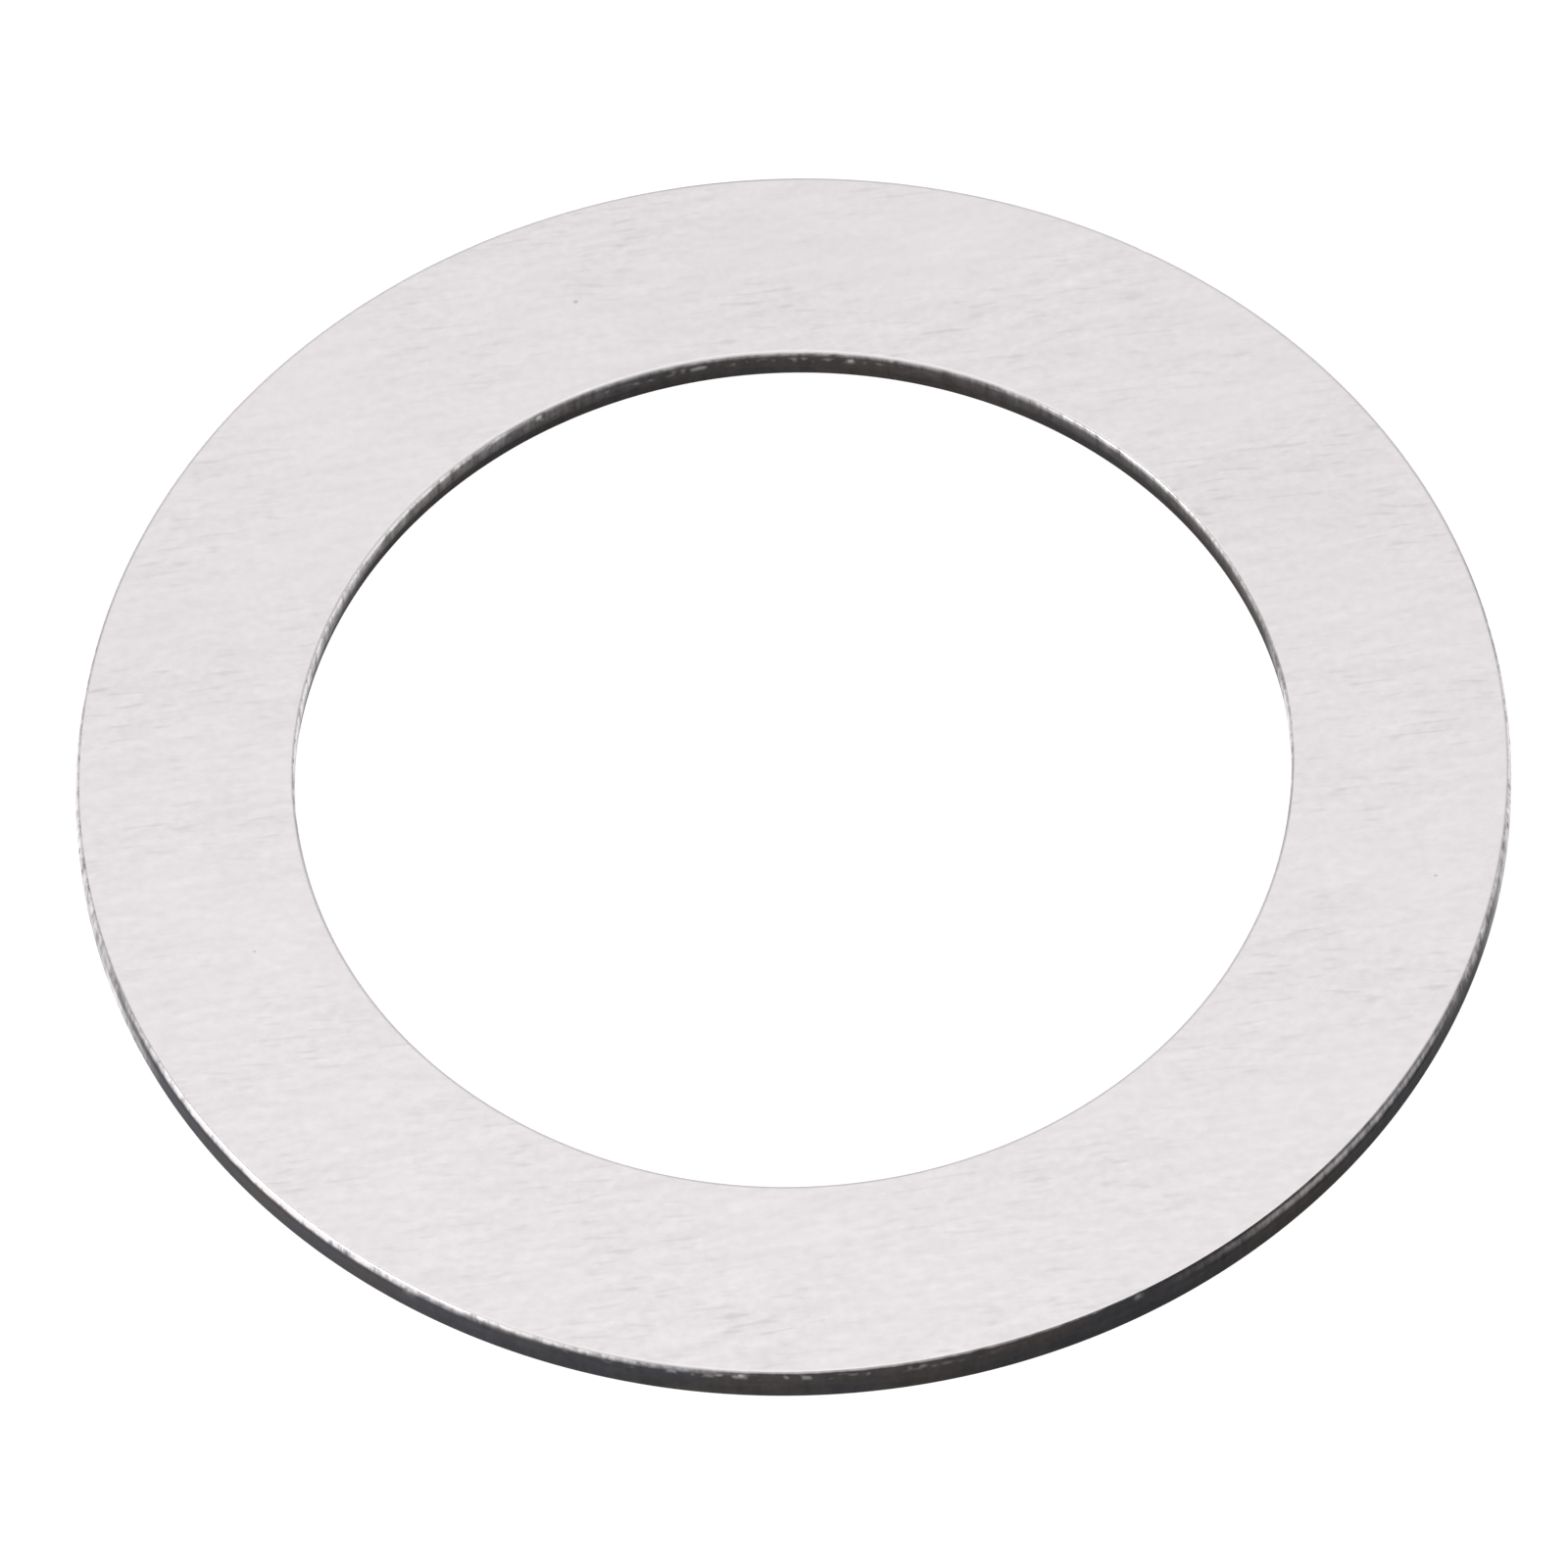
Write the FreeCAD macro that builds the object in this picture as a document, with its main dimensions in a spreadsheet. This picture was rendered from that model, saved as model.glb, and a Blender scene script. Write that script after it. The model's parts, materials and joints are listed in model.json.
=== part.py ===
"""Flat washer: a plain steel shim ring, one stamped, hardened and face-ground piece.

The ring lies on its lower face. The origin is the centre of the bore in the plane of
that face, and +Z runs up the bore's axis to the upper face. Units are millimetres.

The body is made in the order of the real one. A disc is blanked from strip and the bore
is pierced through it. The press tool leaves each wall in two bands: a smooth sheared land,
which is the true cylinder, and a fracture zone beside it that leans away as a shallow cone.
Face grinding and tumbling then leave all four corners slightly round, the upper ones more
than the lower ones.
"""

import FreeCAD, Part

import math
import os

import Sketcher

DIMENSIONS = {
    "outer_diameter": 36.0,
    "bore_diameter": 25.0,
    "thickness": 1.0,
    "shear_clearance": 0.06,
    "rim_fracture_height": 0.38,
    "bore_fracture_height": 0.50,
    "upper_corner_radius": 0.08,
    "lower_corner_radius": 0.045,
}
LENGTH_TOLERANCE = 1e-6
VOLUME_TOLERANCE = 1e-3


def make_sheet(doc):
    """The spreadsheet that holds every driving dimension, one alias to a row."""
    sheet = doc.addObject("Spreadsheet::Sheet", "dimensions")
    for row, (alias, value) in enumerate(DIMENSIONS.items(), start=1):
        sheet.set(f"A{row}", alias)
        sheet.set(f"B{row}", str(value))
        sheet.setAlias(f"B{row}", alias)
    doc.recompute()
    return sheet


def circle_sketch(body, name, diameter_alias, diameter):
    """A circle about the axis, in the plane of the lower face, sized by the sheet."""
    sketch = body.newObject("Sketcher::SketchObject", name)
    lower_plane = next(item for item in body.Origin.OriginFeatures if item.Role == "XY_Plane")
    sketch.AttachmentSupport = (lower_plane, [""])
    sketch.MapMode = "FlatFace"
    centre = FreeCAD.Vector(0, 0, 0)
    axis = FreeCAD.Vector(0, 0, 1)
    circle = sketch.addGeometry(Part.Circle(centre, axis, diameter / 2), False)
    sketch.addConstraint(Sketcher.Constraint("Coincident", circle, 3, -1, 1))
    constraint = sketch.addConstraint(Sketcher.Constraint("Diameter", circle, diameter))
    sketch.renameConstraint(constraint, diameter_alias)
    sketch.setExpression(f"Constraints.{diameter_alias}", f"dimensions.{diameter_alias}")
    return sketch


def ring_edge(shape, radius, height):
    """The name of the round edge of that radius at that height."""
    for number, edge in enumerate(shape.Edges, start=1):
        curve = edge.Curve
        if not isinstance(curve, Part.Circle):
            continue
        right_radius = abs(curve.Radius - radius) < LENGTH_TOLERANCE
        right_height = abs(curve.Center.z - height) < LENGTH_TOLERANCE
        if right_radius and right_height:
            return f"Edge{number}"
    raise RuntimeError(f"no round edge of radius {radius} at height {height}")


def fracture_zone(body, name, base, edge, height_alias, height_first):
    """The shallow cone that a press tool leaves where the metal tears: as tall as the
    fracture, and as wide as the tool's clearance. height_first says which of the edge's
    two faces the chamfer measures its first size on."""
    chamfer = body.newObject("PartDesign::Chamfer", name)
    chamfer.Base = (base, [edge])
    chamfer.ChamferType = "Two distances"
    aliases = [height_alias, "shear_clearance"]
    if not height_first:
        aliases.reverse()
    chamfer.setExpression("Size", f"dimensions.{aliases[0]}")
    chamfer.setExpression("Size2", f"dimensions.{aliases[1]}")
    return chamfer


def round_corners(body, name, base, edges, radius_alias):
    """A small round along each of the edges."""
    corners = body.newObject("PartDesign::Fillet", name)
    corners.Base = (base, edges)
    corners.setExpression("Radius", f"dimensions.{radius_alias}")
    return corners


def make_washer(doc, sheet):
    """The whole washer, as one PartDesign body."""
    outer_radius = sheet.outer_diameter / 2
    bore_radius = sheet.bore_diameter / 2
    body = doc.addObject("PartDesign::Body", "washer")

    blank = body.newObject("PartDesign::Pad", "blank")
    blank.Profile = circle_sketch(body, "blank_outline", "outer_diameter", sheet.outer_diameter)
    blank.setExpression("Length", "dimensions.thickness")

    bore = body.newObject("PartDesign::Pocket", "pierced_bore")
    bore.Profile = circle_sketch(body, "bore_outline", "bore_diameter", sheet.bore_diameter)
    bore.Type = "ThroughAll"
    bore.Reversed = True
    doc.recompute()

    rim_edge = ring_edge(bore.Shape, outer_radius, sheet.thickness)
    rim = fracture_zone(body, "rim_fracture", bore, rim_edge, "rim_fracture_height", True)
    doc.recompute()

    bore_edge = ring_edge(rim.Shape, bore_radius, 0)
    pierced = fracture_zone(body, "bore_fracture", rim, bore_edge, "bore_fracture_height", False)
    doc.recompute()
    check_volume(pierced.Shape, sheet)

    upper_edges = [
        ring_edge(pierced.Shape, outer_radius - sheet.shear_clearance, sheet.thickness),
        ring_edge(pierced.Shape, bore_radius, sheet.thickness),
    ]
    upper = round_corners(body, "upper_corners", pierced, upper_edges, "upper_corner_radius")
    doc.recompute()

    lower_edges = [
        ring_edge(upper.Shape, outer_radius, 0),
        ring_edge(upper.Shape, bore_radius + sheet.shear_clearance, 0),
    ]
    round_corners(body, "lower_corners", upper, lower_edges, "lower_corner_radius")
    doc.recompute()
    return body


def check_volume(shape, sheet):
    """Stops the script unless the bore and both fracture zones took away what they should."""
    outer_radius = sheet.outer_diameter / 2
    bore_radius = sheet.bore_diameter / 2
    clearance = sheet.shear_clearance
    ring = (outer_radius**2 - bore_radius**2) * sheet.thickness
    rim_cone = (outer_radius * clearance - clearance**2 / 3) * sheet.rim_fracture_height
    bore_cone = (bore_radius * clearance + clearance**2 / 3) * sheet.bore_fracture_height
    expected = math.pi * (ring - rim_cone - bore_cone)
    if abs(shape.Volume - expected) > VOLUME_TOLERANCE:
        raise RuntimeError(f"the volume is {shape.Volume}, and should be {expected}")


def check_document(doc):
    """Stops the script if any object of the document failed to compute."""
    for item in doc.Objects:
        if {"Invalid", "Error"} & set(item.State):
            raise RuntimeError(f"{item.Label} is {item.State}")


def export(body):
    """Writes the body's solid to a STEP file with the body's own name."""
    shape = body.Shape
    if shape.isNull() or not shape.isValid() or len(shape.Solids) != 1:
        raise RuntimeError(f"{body.Label} isn't one valid solid")
    os.makedirs("parts", exist_ok=True)
    shape.exportStep(os.path.join("parts", f"{body.Label}.step"))
    box = shape.optimalBoundingBox()
    size = f"{box.XLength:.3f} x {box.YLength:.3f} x {box.ZLength:.3f} mm"
    print(f"{body.Label}: {size}, {shape.Volume:.3f} mm3")


def main():
    doc = FreeCAD.newDocument("flat_washer")
    sheet = make_sheet(doc)
    washer = make_washer(doc, sheet)
    check_document(doc)
    export(washer)


main()
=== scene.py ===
import json
import math

import bpy
from mathutils import Matrix, Vector, noise


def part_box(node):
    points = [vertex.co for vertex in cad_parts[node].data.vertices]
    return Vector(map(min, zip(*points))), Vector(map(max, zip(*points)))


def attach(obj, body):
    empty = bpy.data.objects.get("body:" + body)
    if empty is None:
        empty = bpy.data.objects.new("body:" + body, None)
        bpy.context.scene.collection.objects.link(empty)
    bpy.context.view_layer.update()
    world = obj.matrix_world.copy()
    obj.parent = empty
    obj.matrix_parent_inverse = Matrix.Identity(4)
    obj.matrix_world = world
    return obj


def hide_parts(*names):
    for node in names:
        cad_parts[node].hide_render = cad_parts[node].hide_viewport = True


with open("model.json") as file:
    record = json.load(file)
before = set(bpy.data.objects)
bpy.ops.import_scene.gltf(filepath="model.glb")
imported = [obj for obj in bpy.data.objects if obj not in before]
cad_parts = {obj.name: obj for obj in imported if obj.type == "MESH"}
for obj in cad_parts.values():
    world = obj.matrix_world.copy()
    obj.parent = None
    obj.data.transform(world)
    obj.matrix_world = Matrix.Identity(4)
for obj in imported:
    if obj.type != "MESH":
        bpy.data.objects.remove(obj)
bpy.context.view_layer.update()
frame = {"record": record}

# A stamped and ground flat washer. Lengths are in metres, and MM turns millimetres into them.
# East is +X. An azimuth runs from +X towards +Y.
MM = 0.001
NODE = "washer"
BODY = "root"

LOW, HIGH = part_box(NODE)
MOUNTS = {mount["name"]: mount for mount in frame["record"]["mounts"]}


def land(name):
    """Radius of a mount's sheared land, and the heights that the land starts and ends at."""
    mount = MOUNTS[name]
    middle = mount["pos_m"][2]
    half = mount["dims"]["length_mm"] * MM / 2
    return mount["dims"]["r_mm"] * MM, middle - half, middle + half


RIM_RADIUS, RIM_LAND_LOW, RIM_LAND_HIGH = land("rim")
BORE_RADIUS, BORE_LAND_LOW, BORE_LAND_HIGH = land("bore")
BOTTOM = LOW.z
TOP = HIGH.z
LOWER_ROUND = RIM_LAND_LOW - BOTTOM
UPPER_ROUND = TOP - BORE_LAND_HIGH

# How far a fracture has leant away from its land where it meets the face.
SHEAR_LEAN = 0.06 * MM

# Fineness of the ring's mesh. FACE_MARGIN is a narrow strip beside each round, so that the
# flats shade flat.
SEGMENTS = 1440
LOWER_ROUND_STEPS = 4
UPPER_ROUND_STEPS = 6
LAND_STEPS = 6
FRACTURE_STEPS = 9
FACE_STEPS = 4
FACE_MARGIN = 0.025 * MM

# How uneven a sheared edge is. The tear line between land and fracture wanders, the fracture
# is torn in coarse grains with finer ones on them, and the land is scored.
TEAR_WANDER = 0.05 * MM
TEAR_LENGTH = 2.4 * MM
RIM_TEAR_SEED = 3.0
BORE_TEAR_SEED = 7.0
TORN_DEPTH = 0.016 * MM
TORN_GRAIN = 0.30 * MM
TORN_FINENESS = 2.7
TORN_MIDDLE = 0.5
TORN_COARSE = 0.7
TORN_FINE = 0.35
SCORE_DEPTH = 0.003 * MM
SCORE_WIDTH = 0.16 * MM

# The unevenness fades in over one part in EDGE_EASE of a band, so that it meets the next one.
EDGE_EASE = 5.0

# The fracture's mask at the tear line, and how fast it rises to 1 from there.
FRACTURE_START = 0.25
FRACTURE_RISE = 4.0

# Small dents at the edges: azimuth in degrees, height, reach and depth in millimetres, and how
# bare they are. A dent fades as a bell curve, and ends at NICK_END times its reach.
RIM_NICKS = [
    (-123.9, 0.80, 0.16, 0.030, 0.60),
    (-96.2, 0.84, 0.10, 0.020, 0.45),
    (-63.8, 0.90, 0.12, 0.025, 0.22),
    (-12.0, 0.84, 0.12, 0.022, 0.60),
    (58.0, 0.88, 0.14, 0.028, 0.60),
    (151.0, 0.82, 0.11, 0.020, 0.50),
]
BORE_NICKS = [
    (81.1, 0.71, 0.10, 0.018, 0.45),
    (118.8, 0.84, 0.14, 0.024, 0.80),
    (125.9, 0.80, 0.10, 0.018, 0.50),
    (-35.0, 0.82, 0.12, 0.022, 0.50),
    (-140.0, 0.76, 0.10, 0.020, 0.50),
]
NICK_FALL = 2.0
NICK_END = 2.5

# How bare the corners are worn. Upper ones: the middle and half width in degrees of azimuth,
# and the amount. Lower ones: the same amount all round.
RIM_BROW = [(-124.0, 76.0, 1.15), (-10.0, 50.0, 0.95), (50.0, 80.0, 1.3), (130.0, 70.0, 1.3)]
BORE_BROW = [(40.0, 58.0, 0.9), (92.0, 90.0, 1.1), (144.0, 58.0, 1.4), (-95.0, 140.0, 2.0)]
FOOT_WEAR = 0.5

# Stretches of wall rubbed back towards bare steel: the middle and half width in degrees of
# azimuth, the heights where the rubbing starts, is full and ends again, as shares of the
# thickness, and the amount. It fades out over RUB_FADE above its end.
RIM_RUBBED = [
    (-37.0, 26.0, 0.68, 0.82, 0.93, 0.34),
    (-15.0, 18.0, 0.50, 1.05, 1.10, 0.75),
    (-139.0, 29.0, 0.71, 0.88, 1.10, 1.40),
    (-119.0, 27.0, 0.80, 0.96, 1.10, 1.10),
    (-164.0, 12.0, 0.78, 0.36, 1.10, 0.70),
    (-181.0, 29.0, 0.00, 0.10, 1.10, 0.85),
    (0.0, 22.0, 0.00, 0.10, 1.10, 0.95),
    (60.0, 22.0, 0.60, 0.76, 0.95, 0.45),
    (112.0, 30.0, 0.62, 0.80, 1.10, 0.60),
]
BORE_RUBBED = [
    (147.0, 38.0, 0.78, 0.93, 1.10, 1.15),
    (145.0, 46.0, 0.34, 0.66, 1.10, 0.18),
    (152.0, 14.0, 0.48, 0.88, 1.10, 0.85),
    (172.0, 26.0, 0.05, 0.85, 1.10, 0.95),
    (92.0, 78.0, 0.84, 0.99, 1.10, 0.42),
    (40.0, 39.0, 0.76, 1.00, 1.10, 0.84),
    (38.0, 50.0, 0.40, 0.80, 1.10, 0.07),
    (2.0, 16.0, 0.00, 0.70, 1.10, 0.75),
    (-70.0, 22.0, 0.50, 0.90, 1.10, 0.45),
    (-128.0, 28.0, 0.55, 0.90, 1.10, 0.35),
]
RUB_FADE = 0.06

# Rows of small pale flecks along the walls: the middle and half width in degrees of azimuth,
# and the height as a share of the thickness. FLECK_SPREAD is how far they stray from it.
RIM_FLECKS = [(-98.0, 30.0, 0.82), (95.0, 80.0, 0.80)]
BORE_FLECKS = [(101.0, 40.0, 0.69), (-90.0, 80.0, 0.70)]
FLECK_SPREAD = 0.13

# Each wall: the way into the steel along the radius, 1 for the inner wall or 0, and its tables.
WALLS = {
    "rim": (-1.0, 0.0, RIM_NICKS, RIM_BROW, RIM_RUBBED, RIM_FLECKS),
    "bore": (1.0, 1.0, BORE_NICKS, BORE_BROW, BORE_RUBBED, BORE_FLECKS),
}

# What each vertex tells the materials, and which material each zone of the section has.
MASKS = ("fracture", "worn", "bare", "height", "fleck", "inner")
FACE_MATERIAL = {"upper_face": 0, "lower_face": 1}
EDGE_MATERIAL = 2

# Grinding: the direction of the lines from +X on each face, where each face lies in the noise,
# and the angle between the two sets of lines that cross.
UPPER_GRAIN = math.radians(11.0)
LOWER_GRAIN = math.radians(-21.0)
UPPER_PLACE = 5.0
LOWER_PLACE = 140.0
LINE_SPREAD = math.radians(13.0)

# Marks of grinding: the length and width of one mark in millimetres, how far it turns off the
# grain as a share of LINE_SPREAD, its own place in the noise, and how much detail it has.
GROUND_MARKS = {
    "lines": (0.56, 0.21, 0.0, 0.0, 1.0),
    "crossing": (0.44, 0.20, 1.0, 17.0, 1.0),
    "bands": (2.4, 0.40, 0.0, 31.0, 2.0),
    "cloud": (6.0, 3.0, 0.0, 57.0, 2.0),
    "speckle": (0.26, 0.21, 0.0, 71.0, 3.0),
    "dash": (0.80, 0.14, 0.5, 83.0, 0.0),
}

# How much the marks change a face's tone. The streaks and the dashes come in patches.
STREAK_WEIGHTS = {"lines": 0.072, "crossing": 0.072, "bands": 0.14, "speckle": 0.16}
STREAKS_OUTSIDE = 0.70
STREAKS_IN_PATCH = 1.25
CLOUD_WEIGHT = 0.05
DASH_SHADE = 0.10

# How deep the marks of grinding are, and the share of that which each kind has.
GRINDING_DEPTH = 0.0012 * MM
GRINDING_RELIEF = {"lines": 1.0, "crossing": 0.8, "bands": 0.5}
DASH_RELIEF = -0.8

# Marks on the upper face, with how much they darken it and how far they are pulled out along
# the grain. Pits are x, y and radius, and clouds are x, y and reach, in millimetres.
PITS = [(-4.99, 14.37, 0.065), (15.9, -4.2, 0.045), (-13.6, -4.9, 0.040)]
PIT_SHADE = 0.30
PIT_STRETCH = 1.3
CLOUDS = [(13.8, 7.6, 3.4), (-14.2, 4.0, 4.2), (-1.0, 14.8, 3.0)]
CLOUD_SHADE = 0.018
CLOUD_STRETCH = 1.8

# Marks of the sheared edges: the width and height of one mark in millimetres, its place in the
# noise, and how much detail it has.
SHEARED_MARKS = {
    "scores": (0.11, 2.5, 0.0, 2.0),
    "grains": (0.16, 0.13, 11.0, 3.0),
    "smears": (0.28, 0.60, 37.0, 3.0),
    "blotch": (1.1, 0.40, 23.0, 2.0),
    "tint": (4.0, 1.5, 61.0, 2.0),
    "spots": (0.22, 0.22, 91.0, 0.0),
}

# How much those marks change the tone of the scale, and where it is rubbed through.
SCALE_WEIGHTS = {"blotch": 0.60, "scores": 0.28, "grains": 0.50, "smears": 0.60}
RUB_WEIGHTS = {"smears": 2.4, "scores": 1.6, "grains": 1.0}
BROW_WEIGHTS = {"smears": 0.28}
EDGE_RELIEF = 0.006 * MM

STEEL = (0.800, 0.765, 0.777)
BROWN_DARK = (0.0276, 0.0240, 0.0232)
BROWN_PALE = (0.066, 0.056, 0.0525)
BLUE_DARK = (0.0238, 0.0236, 0.0262)
BLUE_PALE = (0.0535, 0.0535, 0.0610)
FLOOR_DARK = (0.18, 0.18, 0.18)
FLOOR_PALE = (0.22, 0.22, 0.22)
WHITE = (1.0, 1.0, 1.0)

# The view is a long lens looking down on the washer along +Y, with the camera rolled a little.
CAMERA_ELEVATION = math.radians(56.58)
CAMERA_ROLL = math.radians(-2.54)
CAMERA_DISTANCE = 490.5 * MM
CAMERA_SIDE = 0.212 * MM
CAMERA_RISE = 0.516 * MM
CAMERA_CLIP = 10.0 * MM
SENSOR = 36.0
LENS = 449.5

# The floor glows, so that it comes out as white as the photo's ground.
FLOOR_RADIUS = 1.5
FLOOR_CORNERS = 96
FLOOR_GAP = 0.002 * MM
FLOOR_GLOW = 0.92
FLOOR_MOTTLE = 40 * MM

# The surround's brightness, which is full where a direction's own Z passes ZENITH_START.
HORIZON_BRIGHTNESS = 0.50
ZENITH_BRIGHTNESS = 0.785
ZENITH_START = 0.9


# ---------------------------------------------------------------- the ring's section

def steps_between(start, end, steps):
    """Evenly spaced points from start up to, but not including, end."""
    return [start.lerp(end, i / steps) for i in range(steps)]


def flat_between(start, end):
    """Points of a flat face from start up to end, with a narrow strip at each side."""
    along = (end - start).normalized() * FACE_MARGIN
    return [start] + steps_between(start + along, end - along, FACE_STEPS) + [end - along]


def round_between(before, corner, after, radius, steps):
    """Points of the round that blunts a corner, and then its two ends."""
    to_before = (before - corner).normalized()
    to_after = (after - corner).normalized()
    half = to_before.angle(to_after) / 2
    centre = corner + (to_before + to_after).normalized() * radius / math.sin(half)
    reach = radius / math.tan(half)
    first = corner + to_before * reach
    last = corner + to_after * reach
    arms = [(first - centre).slerp(last - centre, i / steps) for i in range(steps)]
    return [centre + arm.normalized() * radius for arm in arms], first, last


def section(angle):
    """The ring's closed section at one azimuth, as (zone, share of the zone passed, point).
    A point is (r, z)."""
    rim_tear = RIM_LAND_HIGH + TEAR_WANDER * wander(angle, RIM_RADIUS, RIM_TEAR_SEED)
    bore_tear = BORE_LAND_LOW + TEAR_WANDER * wander(angle, BORE_RADIUS, BORE_TEAR_SEED)
    inner_low = Vector((BORE_RADIUS + SHEAR_LEAN, BOTTOM))
    outer_low = Vector((RIM_RADIUS, BOTTOM))
    rim_break = Vector((RIM_RADIUS, rim_tear))
    outer_high = Vector((RIM_RADIUS - SHEAR_LEAN, TOP))
    inner_high = Vector((BORE_RADIUS, TOP))
    bore_break = Vector((BORE_RADIUS, bore_tear))

    lower = (LOWER_ROUND, LOWER_ROUND_STEPS)
    upper = (UPPER_ROUND, UPPER_ROUND_STEPS)
    bore_foot, fracture_end, lower_start = round_between(bore_break, inner_low, outer_low, *lower)
    rim_foot, lower_end, rim_start = round_between(inner_low, outer_low, rim_break, *lower)
    rim_brow, rim_end, upper_start = round_between(rim_break, outer_high, inner_high, *upper)
    bore_brow, upper_end, bore_start = round_between(outer_high, inner_high, bore_break, *upper)

    zones = [
        ("lower_face", flat_between(lower_start, lower_end)),
        ("rim_foot", rim_foot),
        ("rim_land", steps_between(rim_start, rim_break, LAND_STEPS)),
        ("rim_fracture", steps_between(rim_break, rim_end, FRACTURE_STEPS)),
        ("rim_brow", rim_brow),
        ("upper_face", flat_between(upper_start, upper_end)),
        ("bore_brow", bore_brow),
        ("bore_land", steps_between(bore_start, bore_break, LAND_STEPS)),
        ("bore_fracture", steps_between(bore_break, fracture_end, FRACTURE_STEPS)),
        ("bore_foot", bore_foot),
    ]
    return [(zone, i / len(points), point) for zone, points in zones for i, point in enumerate(points)]


# ---------------------------------------------------------------- the unevenness of a sheared edge

def on_circle(angle, radius, height):
    """The place at an azimuth, a radius and a height."""
    return Vector((radius * math.cos(angle), radius * math.sin(angle), height))


def wander(angle, radius, seed):
    """A slow wave round the ring, from -1 to 1."""
    return noise.noise(on_circle(angle, radius, 0) / TEAR_LENGTH + Vector((0, 0, seed)))


def torn(angle, point):
    """Depth of the torn fracture at a point."""
    place = on_circle(angle, point.x, point.y) / TORN_GRAIN
    coarse = noise.noise(place)
    fine = noise.noise(place * TORN_FINENESS)
    return TORN_DEPTH * max(0.0, TORN_MIDDLE + TORN_COARSE * coarse + TORN_FINE * fine)


def scored(angle, point):
    """Depth of the upright lines that the punch or die left on the land."""
    wave = noise.noise(on_circle(angle, point.x, 0) / SCORE_WIDTH)
    return SCORE_DEPTH * (0.5 + 0.5 * wave)


def nicked(angle, point, nicks):
    """Depth of the dents near a point, and how bare the steel is there, from 0 to 1."""
    depth = 0.0
    bare = 0.0
    for azimuth, height, reach, deep, shine in nicks:
        around = math.remainder(angle - math.radians(azimuth), math.tau) * point.x
        away = math.hypot(around, point.y - height * MM) / (reach * MM)
        if away < NICK_END:
            share = math.exp(-NICK_FALL * away * away)
            depth = max(depth, share * deep * MM)
            bare = max(bare, share * shine)
    return depth, bare


def near(angle, middle, half):
    """1 at the middle azimuth, easing down to 0 at half a stretch's width from it. The stretch
    is in degrees, and the angle in radians."""
    off = math.remainder(math.degrees(angle) - middle, 360.0) / half
    return max(0.0, 1.0 - off * off) ** 2


def ramp(value, start, full):
    """0 at start and 1 at full, straight between them, and held beyond."""
    return min(1.0, max(0.0, (value - start) / (full - start)))


def rubbed(angle, height, stretches):
    """How far the wall is rubbed back to steel: 0 is not at all, and 1 is bare."""
    most = 0.0
    for middle, half, start, full, end, amount in stretches:
        rise = ramp(height, start, full) * ramp(height, end + RUB_FADE, end)
        most = max(most, near(angle, middle, half) * rise * amount)
    return most


def flecked(angle, height, rows):
    """How near a place is to a row of flecks: 1 on it and 0 beyond its reach."""
    most = 0.0
    for middle, half, row in rows:
        level = ramp(abs(height - row), FLECK_SPREAD, 0.0)
        most = max(most, near(angle, middle, half) * level)
    return most


def shaped(zone, share, point, angle):
    """The point moved into the steel by the edge's unevenness, with its MASKS in their order."""
    wall, _, part = zone.partition("_")
    height = (point.y - BOTTOM) / (TOP - BOTTOM)
    if part == "face":
        return point, (0.0, 1.0, 0.0, height, 0.0, 0.0)
    into, inner, nicks, brows, stretches, rows = WALLS[wall]
    depth, bare = nicked(angle, point, nicks)
    ease = min(1.0, EDGE_EASE * share, EDGE_EASE * (1 - share))
    upward = share if wall == "rim" else 1 - share
    fracture = 0.0
    worn = 0.0
    if part == "fracture":
        depth += torn(angle, point) * ease
        fracture = min(1.0, FRACTURE_RISE * share + FRACTURE_START)
    elif part == "land":
        depth += scored(angle, point) * ease
    elif part == "brow":
        worn = upward * max(near(angle, middle, half) * amount for middle, half, amount in brows)
    else:
        worn = FOOT_WEAR * (1 - upward)
    moved = point + Vector((into * depth, 0))
    bare = max(bare, rubbed(angle, height, stretches))
    return moved, (fracture, worn, bare, height, flecked(angle, height, rows), inner)


# ---------------------------------------------------------------- the ring

def ring_columns():
    """The ring's section at every step round it, as columns of (zone, point, masks)."""
    columns = []
    for segment in range(SEGMENTS):
        angle = segment * math.tau / SEGMENTS
        column = []
        for zone, share, point in section(angle):
            moved, masks = shaped(zone, share, point, angle)
            column.append((zone, moved, masks))
        columns.append(column)
    return columns


def ring_vertices(columns):
    """Every column's points, turned to their own azimuths."""
    vertices = []
    for segment, column in enumerate(columns):
        angle = segment * math.tau / SEGMENTS
        vertices += [on_circle(angle, point.x, point.y) for _, point, _ in column]
    return vertices


def ring_faces(rows):
    """Four-sided faces that join each column to the next one, and the last to the first."""
    faces = []
    for segment in range(SEGMENTS):
        here = segment * rows
        there = (segment + 1) % SEGMENTS * rows
        for row in range(rows):
            after = (row + 1) % rows
            faces.append((here + row, there + row, there + after, here + after))
    return faces


def add_masks(mesh, columns):
    """Gives every vertex its masks."""
    for index, mask in enumerate(MASKS):
        layer = mesh.attributes.new(mask, "FLOAT", "POINT")
        layer.data.foreach_set("value", [masks[index] for column in columns for _, _, masks in column])


def grain_place(point, zone, angle, grain):
    """A point's place in the grain map, in millimetres: along and across the grain on a face,
    and around and up on an edge."""
    if zone in FACE_MATERIAL:
        x = point.x * math.cos(angle)
        y = point.x * math.sin(angle)
        along = x * math.cos(grain) + y * math.sin(grain)
        across = y * math.cos(grain) - x * math.sin(grain)
        return along / MM, across / MM
    return angle * point.x / MM, point.y / MM


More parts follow.
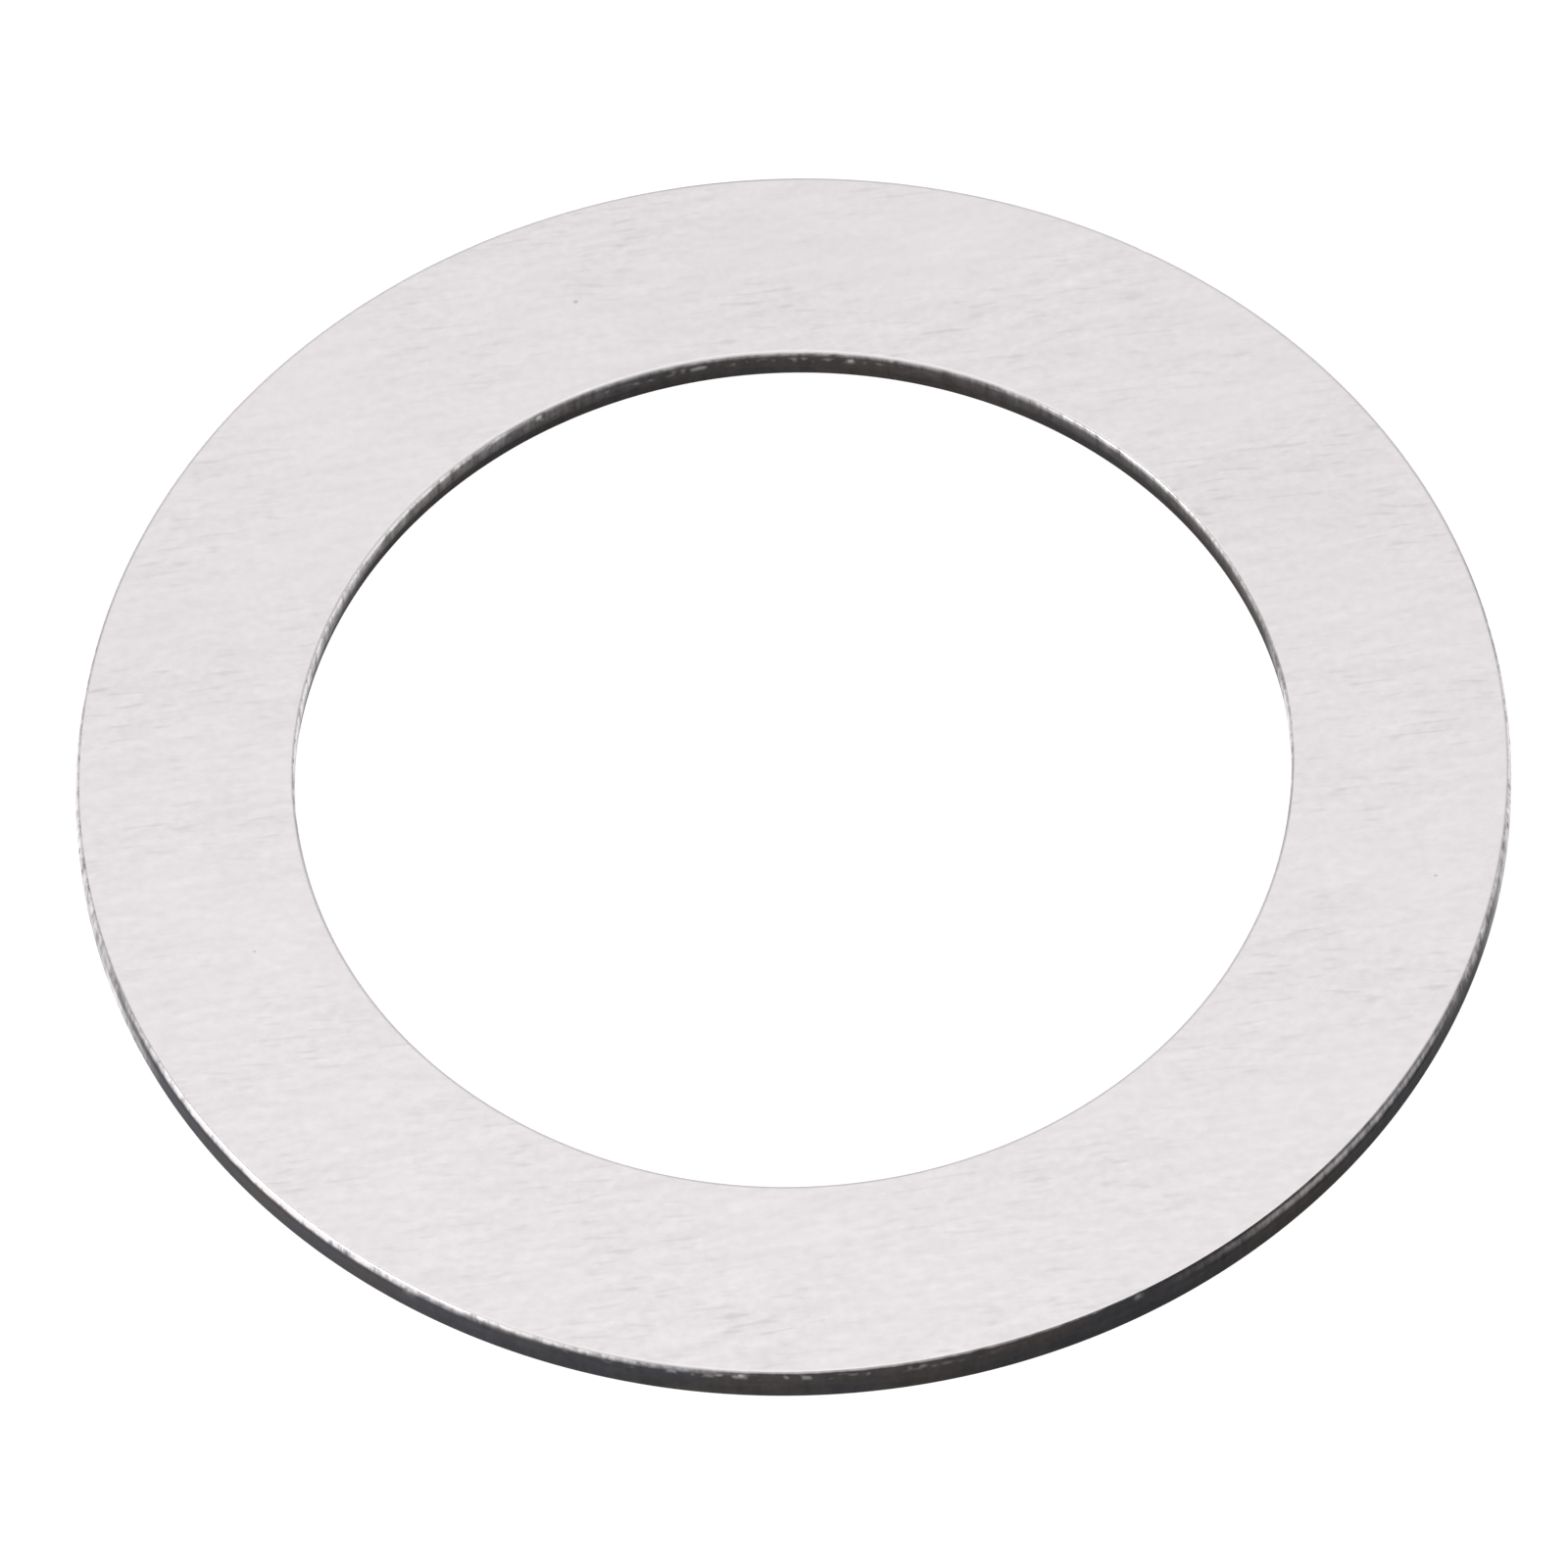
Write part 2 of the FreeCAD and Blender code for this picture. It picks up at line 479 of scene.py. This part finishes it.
def add_grain_map(mesh, columns, zones):
    """Lays the grain map, whose direction turns the metal's stretched highlights."""
    layer = mesh.uv_layers.new(name="grain")
    rows = len(zones)
    places = []
    for segment in range(SEGMENTS):
        for row, zone in enumerate(zones):
            grain = UPPER_GRAIN if zone == "upper_face" else LOWER_GRAIN
            for step, up in ((0, 0), (1, 0), (1, 1), (0, 1)):
                angle = (segment + step) * math.tau / SEGMENTS
                point = columns[(segment + step) % SEGMENTS][(row + up) % rows][1]
                places += grain_place(point, zone, angle, grain)
    layer.data.foreach_set("uv", places)


def make_ring():
    """The whole washer as one closed mesh, with its masks and a map laid along the grain."""
    columns = ring_columns()
    zones = [zone for zone, _, _ in columns[0]]
    mesh = bpy.data.meshes.new("washer_ring")
    mesh.from_pydata(ring_vertices(columns), [], ring_faces(len(zones)))
    add_masks(mesh, columns)
    add_grain_map(mesh, columns, zones)
    slots = [FACE_MATERIAL.get(zone, EDGE_MATERIAL) for zone in zones]
    mesh.polygons.foreach_set("material_index", slots * SEGMENTS)
    mesh.shade_smooth()
    mesh.validate()
    ring = bpy.data.objects.new("washer_ring", mesh)
    bpy.context.scene.collection.objects.link(ring)
    return ring


# ---------------------------------------------------------------- material building blocks

def colour(value):
    return (*value, 1.0)


def scaled(value, factor):
    return colour([channel * factor for channel in value])


class Nodes:
    """One material, with short calls for the few node kinds that are used here."""

    def __init__(self, name):
        self.material = bpy.data.materials.new(name)
        self.material.use_nodes = True
        self.tree = self.material.node_tree
        self.shader = self.tree.nodes["Principled BSDF"]

    def node(self, kind, **settings):
        made = self.tree.nodes.new(kind)
        for name, value in settings.items():
            setattr(made, name, value)
        return made

    def plug(self, value, socket):
        """Links an output to a socket, or sets the socket where value is a number or colour."""
        if isinstance(value, bpy.types.NodeSocket):
            self.tree.links.new(value, socket)
        else:
            socket.default_value = value

    def finish(self, socket, value):
        """Gives the shader's own socket its value."""
        self.plug(value, self.shader.inputs[socket])

    def maths(self, operation, first, second):
        made = self.node("ShaderNodeMath", operation=operation)
        self.plug(first, made.inputs[0])
        self.plug(second, made.inputs[1])
        return made.outputs[0]

    def span(self, value, low, high, to_low=0.0, to_high=1.0):
        """value from low to high becomes to_low to to_high, and is held there beyond."""
        made = self.node("ShaderNodeMapRange", clamp=True)
        for socket, setting in zip(made.inputs, (value, low, high, to_low, to_high)):
            self.plug(setting, socket)
        return made.outputs[0]

    def mix(self, share, first, second):
        """Two colours mixed: the first where share is 0, and the second where it is 1."""
        made = self.node("ShaderNodeMix", data_type="RGBA")
        self.plug(share, made.inputs["Factor"])
        self.plug(first, made.inputs[6])
        self.plug(second, made.inputs[7])
        return made.outputs[2]

    def placed(self, location, turn, size):
        """Object coordinates from a location, turned about the ring's axis, in units of size."""
        made = self.node("ShaderNodeMapping", vector_type="TEXTURE")
        self.plug(self.node("ShaderNodeTexCoord").outputs["Object"], made.inputs["Vector"])
        made.inputs["Location"].default_value = location
        made.inputs["Rotation"].default_value = (0, 0, turn)
        made.inputs["Scale"].default_value = size
        return made.outputs[0]

    def grain(self, size, turn=0.0, shift=0.0, detail=2.0):
        """Noise whose features have the size of a box in metres."""
        made = self.node("ShaderNodeTexNoise", noise_dimensions="3D")
        location = (shift * MM, shift * MM, 0)
        self.plug(self.placed(location, turn, size), made.inputs["Vector"])
        made.inputs["Scale"].default_value = 1.0
        made.inputs["Detail"].default_value = detail
        return made.outputs["Fac"]

    def layered(self, start, marks, weights):
        """start, plus each weighted mark's swing about one half times its weight."""
        total = start
        for name, weight in weights.items():
            swing = self.maths("MULTIPLY", self.maths("SUBTRACT", marks[name], 0.5), weight)
            total = self.maths("ADD", total, swing)
        return total

    def mask(self, name):
        return self.node("ShaderNodeAttribute", attribute_name=name).outputs["Fac"]

    def east(self):
        """Object x as a share of the rim's radius."""
        parts = self.node("ShaderNodeSeparateXYZ")
        self.plug(self.node("ShaderNodeTexCoord").outputs["Object"], parts.inputs[0])
        return self.maths("DIVIDE", parts.outputs["X"], RIM_RADIUS)

    def bump(self, height, distance):
        """Tilts the shading as if the surface rose by distance for each unit of height."""
        made = self.node("ShaderNodeBump")
        made.inputs["Strength"].default_value = 1.0
        made.inputs["Distance"].default_value = distance
        self.plug(height, made.inputs["Height"])
        self.finish("Normal", made.outputs[0])


# ---------------------------------------------------------------- ground faces

def ground_marks(nodes, turn, shift):
    """The marks that grinding leaves, each as noise pulled out along the grain."""
    marks = {}
    for name, (length, width, lean, place, detail) in GROUND_MARKS.items():
        size = (length * MM, width * MM, MM)
        marks[name] = nodes.grain(size, turn - lean * LINE_SPREAD, shift + place, detail)
    return marks


def spots(nodes, places, turn, stretch):
    """Soft round spots at the given x, y and radius, 1 at each middle and 0 outside, pulled out
    along the grain."""
    total = 0.0
    for x, y, radius in places:
        location = (x * MM, y * MM, TOP)
        size = (radius * stretch * MM, radius * MM, radius * MM)
        length = nodes.node("ShaderNodeVectorMath", operation="LENGTH")
        nodes.plug(nodes.placed(location, turn, size), length.inputs[0])
        spot = nodes.span(length.outputs["Value"], 0.0, 1.0, 1.0, 0.0)
        total = nodes.maths("MAXIMUM", spot, total)
    return total


def ground_tone(nodes, marks, dashes, patch):
    """How light the ground steel is, about one half."""
    streaks = nodes.layered(0.0, marks, STREAK_WEIGHTS)
    strength = nodes.span(patch, 0.0, 1.0, STREAKS_OUTSIDE, STREAKS_IN_PATCH)
    streaks = nodes.maths("MULTIPLY", streaks, strength)
    tone = nodes.layered(nodes.maths("ADD", streaks, 0.5), marks, {"cloud": CLOUD_WEIGHT})
    return nodes.maths("SUBTRACT", tone, nodes.maths("MULTIPLY", dashes, DASH_SHADE))


def ground_steel(name, turn, shift, pits, clouds):
    """A hard steel face ground one way: short fine lines that cross a little, faint bands, and
    a few deeper dashes."""
    nodes = Nodes(name)
    marks = ground_marks(nodes, turn, shift)
    patch = nodes.span(marks["cloud"], 0.64, 0.36)
    dashes = nodes.maths("MULTIPLY", nodes.span(marks["dash"], 0.60, 0.80), patch)

    tone = ground_tone(nodes, marks, dashes, patch)
    if clouds:
        shade = spots(nodes, clouds, turn, CLOUD_STRETCH)
        tone = nodes.maths("SUBTRACT", tone, nodes.maths("MULTIPLY", shade, CLOUD_SHADE))
    if pits:
        dark = nodes.span(spots(nodes, pits, turn, PIT_STRETCH), 0.0, 0.6)
        tone = nodes.maths("SUBTRACT", tone, nodes.maths("MULTIPLY", dark, PIT_SHADE))
    nodes.finish("Base Color", nodes.mix(tone, scaled(STEEL, 0.5), scaled(STEEL, 1.5)))

    lines = nodes.maths("ADD", marks["lines"], marks["crossing"])
    nodes.finish("Roughness", nodes.span(lines, 0.7, 1.3, 0.36, 0.46))
    nodes.finish("Metallic", 1.0)
    nodes.finish("Anisotropic", 0.45)
    nodes.finish("Anisotropic Rotation", 0.25)
    tangent = nodes.node("ShaderNodeTangent", direction_type="UV_MAP", uv_map="grain")
    nodes.finish("Tangent", tangent.outputs[0])
    height = nodes.layered(0.0, marks, GRINDING_RELIEF)
    height = nodes.layered(height, {"dashes": dashes}, {"dashes": DASH_RELIEF})
    nodes.bump(height, GRINDING_DEPTH)
    return nodes.material


# ---------------------------------------------------------------- sheared edges

def sheared_marks(nodes):
    """The marks that shearing, hardening and wear leave on a wall, each as noise."""
    marks = {}
    for name, (width, height, place, detail) in SHEARED_MARKS.items():
        size = (width * MM, width * MM, height * MM)
        marks[name] = nodes.grain(size, shift=place, detail=detail)
    return marks


def scale_colour_and_painted_light(nodes, marks):
    """Hardening scale, brown in places and blue-grey in others, with painted light in its tone. It is
    palest at the rim's west end, as painted light from the west, paler in the bore's western half,
    and paler towards the top, as painted light from above."""
    inner = nodes.mask("inner")
    outer = nodes.maths("SUBTRACT", 1.0, inner)
    east = nodes.east()
    # Painted light: the rim's wall is paler towards the west, where the light comes from, and palest
    # at its west end.
    painted_west_light = nodes.span(east, -0.9, 0.95, 0.60, -0.08)
    painted_west_end_light = nodes.span(east, -0.75, -0.35, 0.40, 0.0)
    rim_painted_light = nodes.maths("MULTIPLY", outer, nodes.maths("ADD", painted_west_light, painted_west_end_light))
    bore_tone = nodes.maths("MULTIPLY", inner, nodes.span(east, 0.1, 0.6, 0.14, -0.05))
    # Painted light from above: the wall's scale is paler towards the top.
    upward = nodes.span(nodes.mask("height"), 0.35, 0.80, 0.0, 0.38)
    tone = nodes.maths("ADD", nodes.maths("ADD", rim_painted_light, bore_tone), upward)
    tone = nodes.layered(tone, marks, SCALE_WEIGHTS)

    tint = nodes.maths("SUBTRACT", marks["tint"], nodes.maths("MULTIPLY", inner, 0.11))
    tint = nodes.maths("SUBTRACT", tint, nodes.maths("MULTIPLY", east, 0.08))
    blue = nodes.span(tint, 0.38, 0.62)
    dark = nodes.mix(blue, colour(BROWN_DARK), colour(BLUE_DARK))
    pale = nodes.mix(blue, colour(BROWN_PALE), colour(BLUE_PALE))
    return nodes.mix(tone, dark, pale)


def bare_steel(nodes, marks):
    """Where the scale is gone: 1 along the worn brow, in rubbed patches and, less, on flecks."""
    patchy = nodes.layered(1.0, marks, RUB_WEIGHTS)
    rub = nodes.span(nodes.maths("MULTIPLY", nodes.mask("bare"), patchy), 0.0, 1.0)
    fleck = nodes.span(marks["spots"], 0.54, 0.76, 0.0, 0.26)
    flecks = nodes.maths("MULTIPLY", fleck, nodes.mask("fleck"))
    brow = nodes.span(nodes.layered(nodes.mask("worn"), marks, BROW_WEIGHTS), 0.10, 0.65)
    return nodes.maths("MAXIMUM", brow, nodes.maths("MAXIMUM", rub, flecks))


def sheared_edge(name):
    """A stamped edge under dark scale, rubbed back to bare steel here and there."""
    nodes = Nodes(name)
    marks = sheared_marks(nodes)
    steel = bare_steel(nodes, marks)
    nodes.finish("Base Color", nodes.mix(steel, scale_colour_and_painted_light(nodes, marks), colour(STEEL)))
    nodes.finish("Metallic", steel)
    nodes.finish("Specular IOR Level", 0.01)

    fracture = nodes.mask("fracture")
    coarse = nodes.maths("ADD", fracture, marks["grains"])
    nodes.finish("Roughness", nodes.span(coarse, 0.3, 1.7, 0.36, 0.50))
    grains = nodes.maths("MULTIPLY", marks["grains"], nodes.span(fracture, 0.0, 1.0, 0.4, 1.6))
    nodes.bump(nodes.maths("ADD", marks["scores"], grains), EDGE_RELIEF)
    return nodes.material


# ---------------------------------------------------------------- camera, floor and light

def make_camera():
    """The camera at the viewing angle, aimed just beside the middle of the upper face."""
    forward = Vector((0, math.cos(CAMERA_ELEVATION), -math.sin(CAMERA_ELEVATION)))
    flat_right = Vector((1, 0, 0))
    flat_up = flat_right.cross(forward)
    right = flat_right * math.cos(CAMERA_ROLL) + flat_up * math.sin(CAMERA_ROLL)
    up = flat_up * math.cos(CAMERA_ROLL) - flat_right * math.sin(CAMERA_ROLL)
    aim = Vector((0, 0, TOP))
    place = aim - forward * CAMERA_DISTANCE - right * CAMERA_SIDE - up * CAMERA_RISE

    data = bpy.data.cameras.new("camera")
    data.sensor_width = SENSOR
    data.lens = LENS
    data.clip_start = CAMERA_CLIP
    camera = bpy.data.objects.new("camera", data)
    axes = Matrix((right, up, -forward)).transposed()
    camera.matrix_world = Matrix.Translation(place) @ axes.to_4x4()
    bpy.context.scene.collection.objects.link(camera)
    bpy.context.scene.camera = camera


def pale_floor(name):
    """A matt white light table with the faintest unevenness."""
    nodes = Nodes(name)
    mottle = nodes.grain((FLOOR_MOTTLE, FLOOR_MOTTLE, FLOOR_MOTTLE), detail=3.0)
    nodes.finish("Base Color", nodes.mix(mottle, colour(FLOOR_DARK), colour(FLOOR_PALE)))
    nodes.finish("Roughness", 0.9)
    nodes.finish("Specular IOR Level", 0.1)
    nodes.finish("Emission Color", colour(WHITE))
    nodes.finish("Emission Strength", FLOOR_GLOW)
    return nodes.material


def make_floor():
    """A round floor, just clear of the washer's lower face."""
    angles = [i * math.tau / FLOOR_CORNERS for i in range(FLOOR_CORNERS)]
    corners = [on_circle(angle, FLOOR_RADIUS, BOTTOM - FLOOR_GAP) for angle in angles]
    mesh = bpy.data.meshes.new("floor")
    mesh.from_pydata(corners, [], [range(FLOOR_CORNERS)])
    mesh.materials.append(pale_floor("pale_floor"))
    floor = bpy.data.objects.new("floor", mesh)
    bpy.context.scene.collection.objects.link(floor)


def make_softbox(name, azimuth, elevation, distance, size, brightness):
    """A round soft light of an even brightness that faces the washer."""
    turn = math.radians(azimuth)
    rise = math.radians(elevation)
    toward = Vector((math.cos(turn) * math.cos(rise), math.sin(turn) * math.cos(rise), math.sin(rise)))
    data = bpy.data.lights.new(name, "AREA")
    data.shape = "DISK"
    data.size = size
    data.energy = brightness * math.pi * math.pi * (size / 2) ** 2
    lamp = bpy.data.objects.new(name, data)
    lamp.location = toward * distance
    lamp.rotation_euler = toward.to_track_quat("Z", "Y").to_euler()
    lamp.visible_camera = False
    bpy.context.scene.collection.objects.link(lamp)


def make_world():
    """A pale surround, paler overhead than at the horizon."""
    world = bpy.data.worlds.new("studio")
    world.use_nodes = True
    tree = world.node_tree
    direction = tree.nodes.new("ShaderNodeTexCoord")
    parts = tree.nodes.new("ShaderNodeSeparateXYZ")
    rise = tree.nodes.new("ShaderNodeMapRange")
    tree.links.new(direction.outputs["Generated"], parts.inputs[0])
    tree.links.new(parts.outputs["Z"], rise.inputs["Value"])
    rise.inputs["From Min"].default_value = 0.0
    rise.inputs["From Max"].default_value = ZENITH_START
    rise.inputs["To Min"].default_value = HORIZON_BRIGHTNESS
    rise.inputs["To Max"].default_value = ZENITH_BRIGHTNESS
    background = tree.nodes["Background"]
    tree.links.new(rise.outputs[0], background.inputs["Strength"])
    background.inputs["Color"].default_value = colour(WHITE)
    bpy.context.scene.world = world
    bpy.context.scene.view_settings.view_transform = "Standard"


# ---------------------------------------------------------------- the scene

make_camera()
make_floor()
make_world()

# The left light is small and set off the ring's own axes, so that the face doesn't mirror it
# in a view from straight across.
make_softbox("key_light", azimuth=95, elevation=74, distance=1.0, size=0.6, brightness=0.80)
make_softbox("left_light", azimuth=202, elevation=14, distance=1.2, size=0.42, brightness=18.1)
make_softbox("front_light", azimuth=-90, elevation=32, distance=1.4, size=0.7, brightness=0.8)
make_softbox("right_light", azimuth=-15, elevation=20, distance=1.4, size=0.5, brightness=0.9)

ring = make_ring()
for material in (
    ground_steel("ground_upper", UPPER_GRAIN, UPPER_PLACE, PITS, CLOUDS),
    ground_steel("ground_lower", LOWER_GRAIN, LOWER_PLACE, [], []),
    sheared_edge("sheared_edge"),
):
    ring.data.materials.append(material)
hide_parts(NODE)
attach(ring, BODY)
